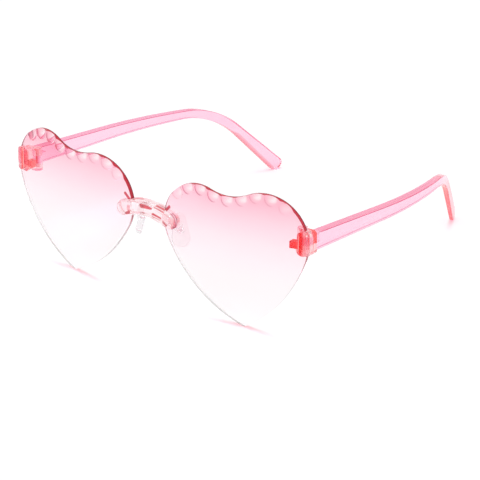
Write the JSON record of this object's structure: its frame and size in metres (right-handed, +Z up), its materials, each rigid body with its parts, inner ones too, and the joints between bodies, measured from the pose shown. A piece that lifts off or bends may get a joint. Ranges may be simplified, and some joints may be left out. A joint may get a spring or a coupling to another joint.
{
  "type": "sunglasses",
  "caption": "Rimless sunglasses with heart shaped gradient tinted lenses scalloped along the top edge, moulded bridge, clear nose pads and folding see-through temples.",
  "frame": {"origin": "on the floor under the middle of the bounding box, temples open", "axes": "+X to the wearer's left, +Y from the lenses back to the temple tips, +Z up"},
  "size_m": [0.1364, 0.138, 0.0538],
  "materials": {
    "bridge": "polished, see-through pink",
    "left_lens": "polished, tinted pink at the top and almost clear at the bottom",
    "right_lens": "polished, tinted pink at the top and almost clear at the bottom",
    "left_nose_pad": "soft clear silicone",
    "right_nose_pad": "soft clear silicone",
    "left_end_piece": "polished, see-through red-pink",
    "right_end_piece": "polished, see-through red-pink",
    "left_hinge_screw": "bright turned steel",
    "right_hinge_screw": "bright turned steel",
    "left_temple": "polished, see-through pink",
    "right_temple": "polished, see-through pink"
  },
  "bodies": {
    "front": {"bridge": "bridge", "left_lens": "left_lens", "right_lens": "right_lens", "left_nose_pad": "left_nose_pad", "right_nose_pad": "right_nose_pad", "left_end_piece": "left_end_piece", "right_end_piece": "right_end_piece", "left_hinge_screw": "left_hinge_screw", "right_hinge_screw": "right_hinge_screw"},
    "left_temple": {"left_temple": "left_temple"},
    "right_temple": {"right_temple": "right_temple"}
  },
  "joints": [
    {"name": "left_temple_fold", "type": "hinge", "parent": "front", "child": "left_temple", "pos_m": [0.06238, -0.05716, 0.03784], "axis": [0, 0, 1], "range_deg": [0, 83]},
    {"name": "right_temple_fold", "type": "hinge", "parent": "front", "child": "right_temple", "pos_m": [-0.06238, -0.05716, 0.03784], "axis": [0, 0, -1], "range_deg": [0, 75]}
  ]
}
